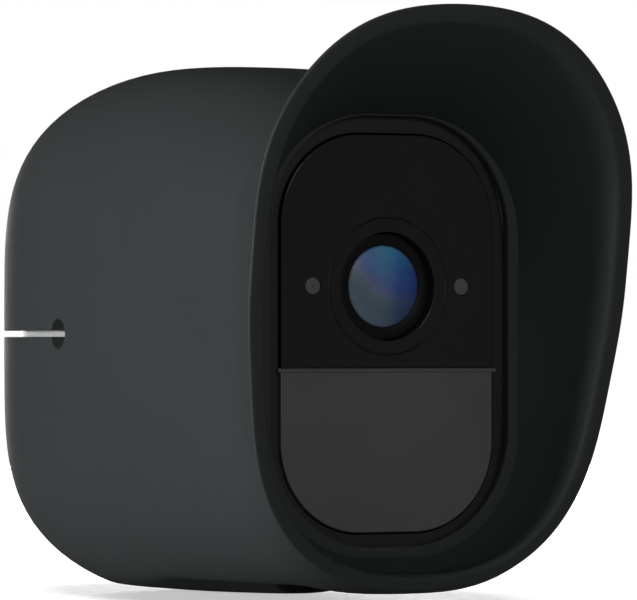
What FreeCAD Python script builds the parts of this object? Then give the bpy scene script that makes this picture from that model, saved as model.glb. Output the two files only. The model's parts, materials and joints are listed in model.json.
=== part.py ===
import FreeCAD, Part
import os, math
import Sketcher
from FreeCAD import Vector as V, Rotation, Placement

# Rounded-body wire-free camera in a hooded silicone sleeve.
# Frame: +X to the camera's left-right, -Y is where the lens looks, +Z up, Z=0 is the flat underside.
# "depth" below is measured backwards from the front face of the window (depth 0) and
# becomes Y once the assembly shift y_mid is taken off.

doc = FreeCAD.newDocument("camera")
Sheet = doc.addObject("Spreadsheet::Sheet", "Sheet")
cells = [
    # sleeve outside
    ("sk_half_w", 26.50), ("sk_half_t", 37.94), ("sk_mid_z", 36.634), ("sk_n_front", 3.2), ("sk_n_rear", 5.61),
    ("sk_wide_y", 41.87), ("sk_rear_y", 81.51), ("sk_pow_w", 2.825), ("sk_pow_t", 2.198),
    ("sk_taper_t", 0.0030), ("sk_taper_low", 0.00121), ("sk_taper_w", 0.0002), ("sk_thick", 2.25), ("sk_gap", 0.10),
    ("y_mid", 29.572),
    # hood
    ("rim_y0", -12.83), ("rim_slope", -0.1513), ("rim_mid_z", 41.75), ("rim_wall", 2.4),
    ("hood_root", -2.0), ("lip_front", -0.85), ("lip_back", 0.4), ("lip_w", 38.0), ("lip_tall", 58.9), ("lip_r", 15.9),
    ("lip_mid_z", 36.97), ("funnel_w", 41.2), ("funnel_tall", 60.57), ("funnel_mid_z", 36.32), ("funnel_r", 16.9),
    # underside: a flat strip at the back that rises and rounds towards the hood
    ("belly_y", 42.0), ("belly_sq", 0.00075), ("belly_4", 6.5e-7), ("belly_x", 0.0060), ("belly_xq", 3.2e-5), ("belly_cap", 2.4), ("belly_flat", 0.12),
    # sleeve openings
    ("slit_tall", 0.9), ("slit_z", 36.63), ("key_y", 46.2), ("key_r", 2.1), ("rear_hole_r", 17.0),
    ("foot_hole_r", 8.0), ("tripod_y", 14.0),
    # housing
    ("wall", 2.0), ("edge_x", 5.2), ("edge_z", 0.7), ("edge_y", 8.0), ("face_y", 0.5),
    ("bezel_back", 6.0), ("joint_gap", 0.3), ("split_y", 47.0),
    ("dish_r", 21.0), ("dish_y", 95.5), ("dish_wall", 1.9), ("steel_thick", 1.0), ("steel_r", 10.0),
    # window
    ("win_w", 33.86), ("win_tall", 54.4), ("win_r", 12.4), ("win_thick", 1.5), ("win_mid_z", 36.63),
    ("win_seat_gap", 0.28), ("win_split_z", 31.9), ("win_step", 0.25),
    ("lens_z", 43.1), ("ring_r", 7.35), ("ring_groove_r", 9.4), ("ring_recess", 1.2), ("glass_r", 5.6),
    ("dot_x", 11.9), ("dot_r", 1.17),
    ("aper_w", 29.0), ("aper_tall", 50.0), ("aper_r", 10.0), ("aper_back", 2.6),
    # optics
    ("barrel_r", 5.5), ("barrel_front", 2.6), ("barrel_len", 10.4), ("barrel_bore", 4.3),
    ("holder_w", 27.0), ("holder_tall", 16.0), ("holder_front", 9.0), ("holder_len", 10.5),
    ("slider_w", 15.5), ("slider_tall", 9.6), ("slider_thick", 1.4), ("slider_y", 14.3), ("slider_step", 7.5),
    ("filter_r", 3.3), ("sensor_w", 8.0), ("sensor_tall", 7.0), ("sensor_thick", 1.0),
    ("sboard_w", 26.0), ("sboard_tall", 22.0), ("sboard_thick", 1.2), ("sboard_y", 19.6),
    ("lboard_w", 27.0), ("lboard_tall", 26.0), ("lboard_thick", 1.0), ("lboard_y", 4.6), ("led_side", 2.8), ("led_thick", 1.2),
    # motion sensor
    ("pir_z", 19.0), ("pir_r", 4.6), ("pir_y", 8.2), ("pir_len", 3.8), ("pboard_w", 16.0), ("pboard_y", 12.3),
    # speaker
    ("spk_r", 9.0), ("spk_y", 17.5), ("spk_len", 5.6), ("spk_z", 21.5),
    # chassis and boards
    ("chas_w", 38.0), ("chas_tall", 58.0), ("chas_thick", 2.0), ("chas_y", 24.5), ("mid_z", 36.6),
    ("mboard_w", 36.0), ("mboard_tall", 56.0), ("mboard_thick", 1.6), ("mboard_y", 30.0),
    ("post_x", 14.5), ("post_z", 22.5), ("post_r", 2.2), ("screw_r", 0.95), ("screw_head", 1.9),
    # power
    ("bat_w", 32.0), ("bat_len", 30.0), ("bat_tall", 44.0), ("bat_y", 37.0), ("bat_z", 15.0),
    # controls
    ("btn_y", 38.0), ("btn_r", 4.0), ("btn_travel", 0.8), ("latch_y", 42.0), ("latch_w", 10.0), ("latch_len", 6.0),
    ("insert_r", 4.6), ("insert_bore", 3.175), ("insert_len", 7.0),
]
for i, (k, v) in enumerate(cells):
    Sheet.set("A%d" % (i + 1), k)
    Sheet.set("B%d" % (i + 1), repr(v))
    Sheet.setAlias("B%d" % (i + 1), k)
doc.recompute()
g = lambda k: float(Sheet.get(k))
nodes = []


def done(o, name, x=0.0, depth=0.0, z=0.0):
    o.Label = name
    o.Placement = Placement(V(x, depth - g("y_mid"), z), o.Placement.Rotation)
    nodes.append(o)
    return o


def put(o, k, v):
    if isinstance(v, str):
        o.setExpression(k, v)
    else:
        if "." in k:
            b = o.Placement.Base
            b = V(b.x, b.y, b.z)
            setattr(b, k[-1], float(v))
            o.Placement = Placement(b, o.Placement.Rotation)
        else:
            setattr(o, k, v)


def B(n, lx, ly, lz, x, y, z):
    o = doc.addObject("Part::Box", n)
    for k, v in (("Length", lx), ("Width", ly), ("Height", lz), ("Placement.Base.x", x), ("Placement.Base.y", y), ("Placement.Base.z", z)):
        put(o, k, v)
    return o


AX = {"Y": Rotation(V(1, 0, 0), -90), "Z": Rotation(), "X": Rotation(V(0, 1, 0), 90)}


def C(n, r, h, x, y, z, ax="Y"):
    o = doc.addObject("Part::Cylinder", n)
    o.Placement = Placement(V(0, 0, 0), AX[ax])
    for k, v in (("Radius", r), ("Height", h), ("Placement.Base.x", x), ("Placement.Base.y", y), ("Placement.Base.z", z)):
        put(o, k, v)
    return o


def K(n, r1, r2, h, x, y, z, ax="Y"):
    o = doc.addObject("Part::Cone", n)
    o.Placement = Placement(V(0, 0, 0), AX[ax])
    for k, v in (("Radius1", r1), ("Radius2", r2), ("Height", h), ("Placement.Base.x", x), ("Placement.Base.y", y), ("Placement.Base.z", z)):
        put(o, k, v)
    return o


def SPH(n, r, x, y, z):
    o = doc.addObject("Part::Sphere", n)
    for k, v in (("Radius", r), ("Placement.Base.x", x), ("Placement.Base.y", y), ("Placement.Base.z", z)):
        put(o, k, v)
    return o


def fuse(n, *a):
    if len(a) == 1:
        return a[0]
    o = doc.addObject("Part::MultiFuse", n)
    o.Shapes = list(a)
    return o


def cut(n, a, *b):
    o = doc.addObject("Part::Cut", n)
    o.Base = a
    o.Tool = fuse(n + "_t", *b)
    return o


def common(n, *a):
    o = doc.addObject("Part::MultiCommon", n)
    o.Shapes = list(a)
    return o


def comp(n, *a):
    o = doc.addObject("Part::Compound", n)
    o.Links = list(a)
    return o


def rrect(w, t, r, x=0.0, z=0.0):
    # rounded rectangle in the XZ plane, as lines and arcs
    hw, ht = w / 2.0, t / 2.0
    g0 = []
    P = lambda a, b: V(x + a, z + b, 0)
    N = V(0, 0, 1)
    g0.append(Part.LineSegment(P(-hw + r, -ht), P(hw - r, -ht)))
    g0.append(Part.ArcOfCircle(Part.Circle(P(hw - r, -ht + r), N, r), -math.pi / 2, 0))
    g0.append(Part.LineSegment(P(hw, -ht + r), P(hw, ht - r)))
    g0.append(Part.ArcOfCircle(Part.Circle(P(hw - r, ht - r), N, r), 0, math.pi / 2))
    g0.append(Part.LineSegment(P(hw - r, ht), P(-hw + r, ht)))
    g0.append(Part.ArcOfCircle(Part.Circle(P(-hw + r, ht - r), N, r), math.pi / 2, math.pi))
    g0.append(Part.LineSegment(P(-hw, ht - r), P(-hw, -ht + r)))
    g0.append(Part.ArcOfCircle(Part.Circle(P(-hw + r, -ht + r), N, r), math.pi, 1.5 * math.pi))
    return g0


def plate(n, w, t, r, thick, holes=(), x=0.0, z=0.0, slots=()):
    # PartDesign plate: front face at local Y=0, back face at local Y=+thick
    body = doc.addObject("PartDesign::Body", n)
    sk = body.newObject("Sketcher::SketchObject", n + "_sketch")
    pl = [f for f in body.Origin.OriginFeatures if getattr(f, "Role", "") == "XZ_Plane"][0]
    sk.AttachmentSupport = [(pl, "")]
    sk.MapMode = "FlatFace"
    sk.addGeometry(rrect(w, t, r, x, z), False)
    for (hx, hz, hr) in holes:
        i = sk.addGeometry(Part.Circle(V(hx, hz, 0), V(0, 0, 1), hr), False)
        sk.addConstraint(Sketcher.Constraint("Radius", i, hr))
    for (sx, sz, sw, st) in slots:
        sk.addGeometry(rrect(sw, st, min(sw, st) * 0.2, sx, sz), False)
    pad = body.newObject("PartDesign::Pad", n + "_pad")
    pad.Profile = sk
    pad.Reversed = True
    if isinstance(thick, str):
        pad.setExpression("Length", thick)
    else:
        pad.Length = thick
    sk.Visibility = False
    body.Tip = pad
    return body


# ---------------------------------------------------------------- curved shells
NP = 48
PSI = [math.pi + 2 * math.pi * k / NP for k in range(NP)]


def dims(y, d):
    A, Bt, yc, yb = g("sk_half_w") - d, g("sk_half_t") - d, g("sk_wide_y"), g("sk_rear_y") - d
    if y <= yc:
        q = (yc - y) ** 2
        return A - g("sk_taper_w") * q, Bt - g("sk_taper_t") * q, Bt - g("sk_taper_low") * q, g("sk_n_front")
    t = min((y - yc) / (yb - yc), 0.9995)
    n = g("sk_n_front") + (g("sk_n_rear") - g("sk_n_front")) * t * t
    bb = Bt * (1 - t ** g("sk_pow_t")) ** (1 / g("sk_pow_t"))
    return A * (1 - t ** g("sk_pow_w")) ** (1 / g("sk_pow_w")), bb, bb, n


def soft(a, b, k):
    m = min(a, b)
    return m - k * math.log(math.exp(-(a - m) / k) + math.exp(-(b - m) / k))


def belly(x, y, inside):
    # how far the underside stands above its flat strip
    q = max(0.0, g("belly_y") - max(y, 0.0)) ** 2
    h = g("belly_sq") * q + g("belly_4") * q * q + (g("belly_x") + g("belly_xq") * q) * x * x - g("belly_flat")
    h = soft(h, g("belly_cap"), 0.25)
    if inside:
        t = min(max((32.0 - y) / 9.0, 0.0), 1.0)
        return (h + 0.3) * t * t * (3 - 2 * t) - 0.3
    t = min(max((y + 7.5) / 8.5, 0.0), 1.0)
    return h * t * t * (3 - 2 * t)


def belly_tool(inside):
    # everything below the rounded underside, as one solid
    rows = []
    for y in (-12, -9, -7, -5, -3, -1, 1, 4, 7, 10, 13, 16, 19, 22, 25, 28, 31, 34, 38, 42, 50, 60, 72, 90):
        top = [V(x, y, belly(x, y, inside)) for x in (-34, -28, -23, -19, -16, -13, -10, -7.5, -5, -2.5, 0, 2.5, 5, 7.5, 10, 13, 16, 19, 23, 28, 34)]
        c = Part.BSplineCurve()
        c.interpolate(Points=top, Parameters=[k / 20.0 for k in range(21)])
        lo = [V(34, y, -30), V(-34, y, -30)]
        rows.append(Part.Wire([c.toShape(), Part.makeLine(top[-1], lo[0]), Part.makeLine(lo[0], lo[1]), Part.makeLine(lo[1], top[0])]))
    t = Part.makeLoft(rows, True, False)
    if t.Volume < 0:
        t.reverse()
    return t


def raised(t, z):
    c = t.copy()
    c.translate(V(0, 0, z))
    return c


def ring(y, d, edge=0.0):
    a, bu, bl, n = dims(y, d)
    ye = g("edge_y")
    if edge and y < ye:
        q = 1 - math.sqrt(max(0.0, 1 - ((ye - y) / (ye - edge)) ** 2))
        a -= g("edge_x") * q
        bu -= g("edge_z") * q
        bl -= g("edge_z") * q
    out = []
    for p in PSI:
        s, c = math.sin(p), math.cos(p)
        r = (abs(s / a) ** n + abs(c / (bu if c > 0 else bl)) ** n) ** (-1.0 / n)
        out.append(V(r * s, y, g("sk_mid_z") + r * c))
    return out


def wire(pts):
    c = Part.BSplineCurve()
    c.interpolate(Points=pts, PeriodicFlag=True, Parameters=[k / float(NP) for k in range(NP + 1)])
    return Part.Wire([c.toShape()])


def loft(rows):
    s = Part.makeLoft([wire(r) for r in rows], True, False)
    if s.Volume < 0:
        s.reverse()
    return s


RIM = [39.11, 39.21, 39.36, 39.27, 38.77, 37.89, 36.77, 35.42, 33.89, 32.32, 31.01, 30.2, 29.88, 29.91, 30.25,
       31.03, 32.39, 34.22, 36.23, 38.07, 39.44, 40.2, 40.39, 40.28, 40.19]


def rim_pts(inset, push=0.0):
    # loop in the tilted plane of the hood's mouth, inset along its own normal
    zc = g("rim_mid_z")
    sl = g("rim_slope")
    base = []
    for p in PSI:
        k = int(round(math.degrees(p) / 7.5)) % 48
        r = RIM[k] if k <= 24 else RIM[48 - k]
        base.append((r * math.sin(p), zc + r * math.cos(p)))
    out = []
    for i in range(NP):
        x0, z0 = base[i - 1]
        x1, z1 = base[(i + 1) % NP]
        tx, tz = x1 - x0, z1 - z0
        L = math.hypot(tx, tz)
        nx, nz = tz / L, -tx / L
        x, z = base[i]
        if nx * x + nz * (z - zc) < 0:
            nx, nz = -nx, -nz
        x, z = x - nx * inset, z - nz * inset
        y = g("rim_y0") + sl * (z - 35.75)
        q = math.hypot(1, sl)
        out.append(V(x, y - push / q, z + push * (-sl) / q * -1 * -1))
    return out


def rr_ray(w, t, r, zc, y):
    out = []
    hw, ht = w / 2.0 - r, t / 2.0 - r
    for p in PSI:
        s, c = math.sin(p), math.cos(p)
        lo, hi = 0.0, 100.0
        for _ in range(60):
            m = (lo + hi) / 2
            qx, qz = abs(m * s) - hw, abs(m * c) - ht
            dd = math.hypot(max(qx, 0), max(qz, 0)) + min(max(qx, qz), 0) - r
            if dd > 0:
                hi = m
            else:
                lo = m
        out.append(V(lo * s, y, zc + lo * c))
    return out


def prism(w, t, r, zc, y0, y1):
    e = []
    for c in rrect(w, t, r, 0.0, zc):
        e.append(c.toShape())
    f = Part.Face(Part.Wire(Part.__sortEdges__(e)))
    f.rotate(V(0, 0, 0), V(1, 0, 0), 90)
    f.translate(V(0, y0, 0))
    return f.extrude(V(0, y1 - y0, 0))


def slab(y0, y1):
    return Part.makeBox(120, y1 - y0, 160, V(-60, y0, -40))


def above(z):
    return Part.makeBox(160, 200, 160, V(-80, -60, z))


# sleeve outside, hood included
rim = rim_pts(0.0)
root = ring(g("hood_root"), 0.0)
rows = [rim]
for s in (0.9, 0.75, 0.55, 0.3):
    row = []
    for a, b in zip(root, rim):
        La = a.y - b.y
        L2 = V(b.x - a.x, 0, b.z - a.z)
        q = min(max((math.cos(PSI[len(row)]) - 0.1) / 0.75, 0.0), 1.0)
        q = q * q * (3 - 2 * q)
        Ts = L2 * (0.1 + 0.75 * q) + V(0, -(1.2 - 0.1 * q) * La, 0)
        Tr = L2 * (1.7 - 0.6 * q) + V(0, -0.9 * La, 0)
        h00, h10, h01, h11 = 2 * s ** 3 - 3 * s ** 2 + 1, s ** 3 - 2 * s ** 2 + s, -2 * s ** 3 + 3 * s ** 2, s ** 3 - s ** 2
        row.append(a * h00 + Ts * h10 + b * h01 + Tr * h11)
    rows.append(row)
rows.append(root)
for y in (2, 8, 16, 26, 36, 44, 52, 58, 63, 67, 70.5, 73.5, 75.8, 77.5, 78.8):
    rows.append(ring(y, 0.0))
outer = loft(rows)
T_out, T_in = belly_tool(False), belly_tool(True)
print("tools", T_out.isValid(), T_in.isValid(), T_out.Volume, T_in.Volume)
outer = outer.common(above(0.0)).cut(T_out)

off = g("sk_thick")
fr = g("lip_back")
rows = [ring(y, off, fr) for y in (fr, fr + 0.15, fr + 0.6, 1.8, 3.2, 5.2, 8, 12, 18, 26, 36, 44, 52, 58, 63, 67, 70.5, 73.5, 75.8, 77.2)]
cavity = loft(rows).common(above(off)).cut(raised(T_in, off))

l0 = rr_ray(g("funnel_w"), g("funnel_tall"), g("funnel_r"), g("funnel_mid_z"), g("lip_front"))
l1 = rim_pts(g("rim_wall"))
l2 = rim_pts(g("rim_wall") - 0.9, 3.0)
mid = []
for a, b in zip(l0, l1):
    m = (a + b) * 0.5
    d = V(m.x, 0, m.z - 38.0)
    d.normalize()
    q = min(max((m.z - 45.0) / 22.0, 0.0), 1.0)
    mid.append(m + d * (0.7 - 1.5 * q))
funnel = loft([l0, mid, l1, l2])

skin = outer.cut(cavity)
skin = skin.cut(funnel)
skin = skin.cut(prism(g("lip_w"), g("lip_tall"), g("lip_r"), g("lip_mid_z"), g("lip_front") - 0.4, 2.0))
skin = skin.cut(Part.makeCylinder(g("rear_hole_r"), 20, V(0, 66, g("sk_mid_z")), V(0, 1, 0)))
tools = [Part.makeBox(80, 40, g("slit_tall"), V(-40, g("key_y"), g("slit_z") - g("slit_tall") / 2)),
         Part.makeCylinder(g("key_r"), 80, V(-40, g("key_y"), g("slit_z")), V(1, 0, 0)),
         Part.makeCylinder(g("foot_hole_r"), 12, V(0, g("tripod_y"), -5), V(0, 0, 1))]
skin = skin.cut(tools[0].fuse(tools[1]))
skin = skin.cut(tools[2])
o = doc.addObject("Part::Feature", "silicone_skin")
o.Shape = skin.Solids[0] if len(skin.Solids) == 1 else skin
print("skin solids", len(skin.Solids), skin.isValid())
done(o, "silicone_skin")

# housing: outside and inside
hd = off + g("sk_gap")
fy = g("face_y")
ys = (12, 18, 26, 36, 44, 52, 58, 63, 67, 70.5, 73.5, 75.6, 77.0, 78.0)
H0 = loft([ring(y, hd, fy) for y in (fy, fy + 0.15, fy + 0.6, 1.9, 3.2, 5.2, 8) + ys]).common(above(hd)).cut(raised(T_in, hd))
wl = g("wall")
H1 = loft([ring(y, hd + wl, -2.0) for y in (g("aper_back"), 3.4, 5.2, 8) + ys[:-2] + (76.3,)]).common(above(hd + wl)).cut(raised(T_in, hd + wl))
shell = H0.cut(H1)
gap = g("joint_gap")

bz = shell.common(slab(-5, g("bezel_back")))
bz = bz.cut(prism(g("win_w") + 0.6, g("win_tall") + 0.6, g("win_r") + 0.3, g("win_mid_z"), -3, g("win_thick") + g("win_seat_gap")))
bz = bz.cut(prism(g("aper_w"), g("aper_tall"), g("aper_r"), g("win_mid_z"), -3, 4))
o = doc.addObject("Part::Feature", "front_bezel")
o.Shape = bz
done(o, "front_bezel")

mh = shell.common(slab(g("bezel_back") + gap, g("split_y")))
boss = Part.makeCylinder(6.2, 9.5, V(0, g("tripod_y"), 2.4), V(0, 0, 1)).common(H0)
mh = mh.fuse(boss)
mh = mh.cut(Part.makeCylinder(g("insert_r") + 0.05, 8.0, V(0, g("tripod_y"), -3), V(0, 0, 1)).fuse(
    Part.makeCylinder(g("insert_r") + 0.05, 8.5, V(0, g("tripod_y"), 2.3), V(0, 0, 1))))
mh = mh.cut(Part.makeCylinder(g("btn_r") + 0.15, 12, V(0, g("btn_y"), 65), V(0, 0, 1)))
lw, ll = g("latch_w") + 0.5, g("latch_len") + 0.5
mh = mh.cut(Part.makeBox(lw, ll, 8, V(-lw / 2, g("latch_y") - ll / 2, 0)))
mh = mh.cut(Part.makeBox(9.4, 4.2, 8, V(3.3, 31.0, 0)))
o = doc.addObject("Part::Feature", "main_housing")
o.Shape = mh
done(o, "main_housing")

dc = V(0, g("dish_y"), g("sk_mid_z"))
dr = shell.common(slab(g("split_y") + gap, 90))
dr = dr.fuse(Part.makeSphere(g("dish_r") + g("dish_wall"), dc).common(H0))
dr = dr.cut(Part.makeSphere(g("dish_r"), dc))
catch = Part.makeBox(6.8, 1.0, 1.15, V(-3.4, g("split_y") + gap, 4.1))
dr = dr.fuse(catch.common(H0))
o = doc.addObject("Part::Feature", "battery_door")
o.Shape = dr
done(o, "battery_door")

st = Part.makeSphere(g("dish_r") + g("dish_wall") + 0.05 + g("steel_thick"), dc).cut(Part.makeSphere(g("dish_r") + g("dish_wall") + 0.05, dc))
st = st.common(Part.makeCylinder(g("steel_r"), 30, V(0, 60, g("sk_mid_z")), V(0, 1, 0)))
o = doc.addObject("Part::Feature", "magnet_plate")
o.Shape = st
done(o, "magnet_plate")

for nm, y0 in (("front_gasket", g("bezel_back")), ("door_gasket", g("split_y"))):
    a = loft([ring(y, hd + 0.5, 0.0) for y in (y0 - 1, y0, y0 + 1, y0 + 2)])
    b = loft([ring(y, hd + 1.6, 0.0) for y in (y0 - 1, y0, y0 + 1, y0 + 2)])
    a = a.common(above(hd + 0.5)).cut(raised(T_in, hd + 0.5)).cut(b.common(above(hd + 1.6)).cut(raised(T_in, hd + 1.6))).common(slab(y0 + 0.04, y0 + gap - 0.04))
    o = doc.addObject("Part::Feature", nm)
    o.Shape = a
    done(o, nm)

# ---------------------------------------------------------------- window
ww, wt, wr, wth = g("win_w"), g("win_tall"), g("win_r"), g("win_thick")
lz = g("lens_z")
for nm, z0, z1 in (("lens_window", g("win_split_z") + 0.1, 90.0), ("pir_window", -10.0, g("win_split_z") - 0.1)):
    p = plate(nm + "_plate", ww, wt, wr, "Sheet.win_thick")
    keep = B(nm + "_keep", 60, 10, z1 - z0, -30, -5, z0 - g("win_mid_z"))
    c = common(nm + "_half", p, keep)
    if nm == "lens_window":
        zz = lz - g("win_mid_z")
        grv = cut(nm + "_grv", C("gr1", "Sheet.ring_groove_r + 0.12", 0.2, 0, -0.02, zz), C("gr2", "Sheet.ring_groove_r - 0.12", 1.0, 0, -0.3, zz))
        c = cut(nm, c, C(nm + "_bore", "Sheet.ring_r + 0.1", 6, 0, -2, zz), C("dl", "Sheet.dot_r + 0.04", 6, "-Sheet.dot_x", -2, zz), C("dr_", "Sheet.dot_r + 0.04", 6, "Sheet.dot_x", -2, zz), grv)
    else:
        c = cut(nm, c, B("pw_relief", 26, 3, 19, -13, 0.9, -23.6))
    done(c, nm, 0, 0, g("win_mid_z"))
c = cut("window_gasket", plate("wg_a", ww, wt, wr, 0.2), plate("wg_b", g("aper_w") + 0.6, g("aper_tall") + 0.6, g("aper_r") + 0.2, 0.6))
done(c, "window_gasket", 0, wth + 0.04, g("win_mid_z"))
for nm, sg in (("mic_port", -1), ("light_port", 1)):
    c = cut(nm, C(nm + "_a", "Sheet.dot_r", "Sheet.win_thick - 0.05", 0, 0, 0), C(nm + "_b", 0.35, 4, 0, 0.4 if sg > 0 else -1, 0))
    done(c, nm, sg * g("dot_x"), 0.03, lz)

# ---------------------------------------------------------------- optics, all about the lens axis
c = cut("lens_trim_ring", C("tr_a", "Sheet.ring_r", 3.2, 0, 0, 0), C("tr_b", "Sheet.glass_r + 0.08", 6, 0, -1, 0), K("tr_c", "Sheet.ring_r - 0.35", "Sheet.glass_r", 0.9, 0, -0.02, 0))
done(c, "lens_trim_ring", 0, g("ring_recess"), lz)
c = cut("lens_dome", common("ld_a", SPH("ld_s", 9.5, 0, 9.5, 0), C("ld_c", "Sheet.glass_r", 1.9, 0, 0, 0)), SPH("ld_i", 8.3, 0, 9.7, 0))
done(c, "lens_dome", 0, 0.6, lz)
c = cut("lens_barrel", C("lb_a", "Sheet.barrel_r", "Sheet.barrel_len", 0, 0, 0), C("lb_b", "Sheet.barrel_bore", 20, 0, 0.9, 0), K("lb_c", 4.9, 3.4, 1.2, 0, -0.01, 0))
done(c, "lens_barrel", 0, g("barrel_front"), lz)
c = common("lens_element_mid", C("lm_c", "Sheet.barrel_bore - 0.05", 2.6, 0, 0, 0), SPH("lm_1", 10.0, 0, 10.0, 0), SPH("lm_2", 10.0, 0, -7.4, 0))
done(c, "lens_element_mid", 0, 5.2, lz)
c = common("lens_element_rear", C("lr_c", "Sheet.barrel_bore - 0.05", 2.2, 0, 0, 0), SPH("lr_1", 12.0, 0, 12.0, 0))
done(c, "lens_element_rear", 0, 9.6, lz)
hb = B("lh_a", "Sheet.holder_w", "Sheet.holder_len", "Sheet.holder_tall", "-Sheet.holder_w/2", 0, "-Sheet.holder_tall/2")
posts = [C("lh_p%d%d" % (sx, sz), 1.2, 3.8, sx * 11.6, -3.34, sz * 6.4) for sx in (-1, 1) for sz in (-1, 1)]
hf = fuse("lh_f", hb, *posts)
c = cut("lens_holder", hf, C("lh_b", "Sheet.barrel_r + 0.05", 4.6, 0, -0.5, 0), C("lh_c", 3.6, 30, 0, -1, 0),
        B("lh_d", 24.6, 2.0, 10.4, -12.3, 5.0, -5.2), B("lh_e", 11, 5, 10, -5.5, 8.6, -5))
done(c, "lens_holder", 0, g("holder_front"), lz)
c = cut("ir_cut_slider", B("is_a", "Sheet.slider_w", "Sheet.slider_thick", "Sheet.slider_tall", -11.6, 0, "-Sheet.slider_tall/2"),
        C("is_b", "Sheet.filter_r", 4, 0, -1, 0), C("is_c", "Sheet.filter_r", 4, "-Sheet.slider_step", -1, 0))
done(c, "ir_cut_slider", 0, g("slider_y"), lz)
c = C("ir_cut_glass", "Sheet.filter_r - 0.03", 0.6, 0, 0, 0)
done(c, "ir_cut_glass", 0, g("slider_y") + 0.4, lz)
c = C("clear_glass", "Sheet.filter_r - 0.03", 0.6, 0, 0, 0)
done(c, "clear_glass", -g("slider_step"), g("slider_y") + 0.4, lz)
c = fuse("image_sensor", B("se_a", "Sheet.sensor_w", "Sheet.sensor_thick", "Sheet.sensor_tall", "-Sheet.sensor_w/2", 0, "-Sheet.sensor_tall/2"),
         B("se_b", 5.4, 0.3, 3.6, -2.7, -0.2, -1.8))
done(c, "image_sensor", 0, g("sboard_y") - g("sensor_thick") - 0.03, lz)
sw, sh = g("sboard_w"), g("sboard_tall")
c = plate("sensor_board", sw, sh, 1.5, "Sheet.sboard_thick", [(-11.3, 6.0, 0.9), (11.3, -6.0, 0.9), (-11, -9, 0.6), (11, 9, 0.6)])
done(c, "sensor_board", 0, g("sboard_y"), lz)
c = comp("sensor_screws", fuse("ss1", C("ss1a", 0.78, 1.24, -11.3, 0.0, 6.0), C("ss1b", 1.5, 0.9, -11.3, 1.24, 6.0)),
         fuse("ss2", C("ss2a", 0.78, 1.24, 11.3, 0.0, -6.0), C("ss2b", 1.5, 0.9, 11.3, 1.24, -6.0)))
done(c, "sensor_screws", 0, g("sboard_y"), lz)
c = plate("led_board", g("lboard_w"), g("lboard_tall"), 3.0, "Sheet.lboard_thick", [(0, 0, 8.3)])
done(c, "led_board", 0, g("lboard_y"), lz)
ls = []
for i, (px, pz) in enumerate(((-8.6, 8.6), (0, 10.6), (8.6, 8.6), (-8.6, -8.6), (0, -10.6), (8.6, -8.6))):
    b = fuse("led%d" % i, B("led%da" % i, "Sheet.led_side", "Sheet.led_thick - 0.3", "Sheet.led_side", px - 1.4, 0.3, pz - 1.4), C("led%db" % i, 1.0, 0.4, px, 0, pz))
    ls.append(b)
c = comp("ir_leds", *ls)
done(c, "ir_leds", 0, g("lboard_y") - 0.03 - g("led_thick"), lz)
c = fuse("microphone", B("mc_a", 3.0, 1.1, 3.8, -1.5, 0.3, -1.9), C("mc_b", 0.8, 0.4, 0, 0, 0))
done(c, "microphone", -g("dot_x") + 0.2, g("lboard_y") - 1.43, lz)
c = fuse("light_sensor", B("lt_a", 2.4, 0.8, 2.4, -1.2, 0.3, -1.2), C("lt_b", 0.7, 0.4, 0, 0, 0))
done(c, "light_sensor", g("dot_x") - 0.1, g("lboard_y") - 1.13, lz)

# ---------------------------------------------------------------- motion sensor
c = cut("pir_baffle", K("pb_a", 9.2, 5.8, 5.0, 0, 0, 0), K("pb_b", 8.5, 4.9, 5.4, 0, -0.2, 0))
done(c, "pir_baffle", 0, 3.2, g("pir_z") + 1.6)
c = fuse("pir_sensor", C("ps_a", "Sheet.pir_r - 0.5", "Sheet.pir_len - 0.4", 0, 0, 0), C("ps_b", "Sheet.pir_r", 0.5, 0, "Sheet.pir_len - 0.5", 0), B("ps_c", 4.0, 0.4, 3.0, -2, -0.15, -1.5))
done(c, "pir_sensor", 0, g("pir_y") + 0.25, g("pir_z") + 1.6)
c = plate("pir_board", g("pboard_w"), 13.0, 1.5, 1.0, [(-6, 4.5, 0.8), (6, 4.5, 0.8)])
done(c, "pir_board", 0, g("pboard_y"), g("pir_z") + 1.6)

# ---------------------------------------------------------------- speaker
c = cut("speaker_frame", fuse("sf_f", C("sf_a", "Sheet.spk_r", 2.2, 0, 0, 0), C("sf_b", 6.4, "Sheet.spk_len", 0, 0, 0)), C("sf_c", 8.0, 1.7, 0, -0.5, 0), C("sf_d", 3.6, 2.6, 0, 1.0, 0))
done(c, "speaker_frame", 0, g("spk_y"), g("spk_z"))
c = cut("speaker_cone", K("sc_a", 7.6, 3.0, 1.0, 0, 0, 0), K("sc_b", 7.0, 2.4, 1.0, 0, -0.25, 0))
done(c, "speaker_cone", 0, g("spk_y") + 0.12, g("spk_z"))

# ---------------------------------------------------------------- chassis, board stack
px, pz = g("post_x"), g("post_z")
c = plate("chassis", g("chas_w"), g("chas_tall"), 12.0, "Sheet.chas_thick", [(-px, -pz, 1.15), (px, -pz, 1.15), (-px, pz, 1.15), (px, pz, 1.15)],
          slots=[(0, -6.6, 12, 4), (0, -22, 14, 6), (0, 20, 16, 8)])
done(c, "chassis", 0, g("chas_y"), g("mid_z"))
so = [cut("so%d" % i, C("so%da" % i, "Sheet.post_r", 3.4, sx * px, 0, sz * pz), C("so%db" % i, 1.1, 9, sx * px, -1, sz * pz))
      for i, (sx, sz) in enumerate(((-1, -1), (1, -1), (-1, 1), (1, 1)))]
c = comp("board_standoffs", *so)
done(c, "board_standoffs", 0, g("chas_y") + g("chas_thick") + 0.05, g("mid_z"))
c = plate("main_board", g("mboard_w"), g("mboard_tall"), 6.0, "Sheet.mboard_thick", [(-px, -pz, 1.15), (px, -pz, 1.15), (-px, pz, 1.15), (px, pz, 1.15)])
done(c, "main_board", 0, g("mboard_y"), g("mid_z"))
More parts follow.
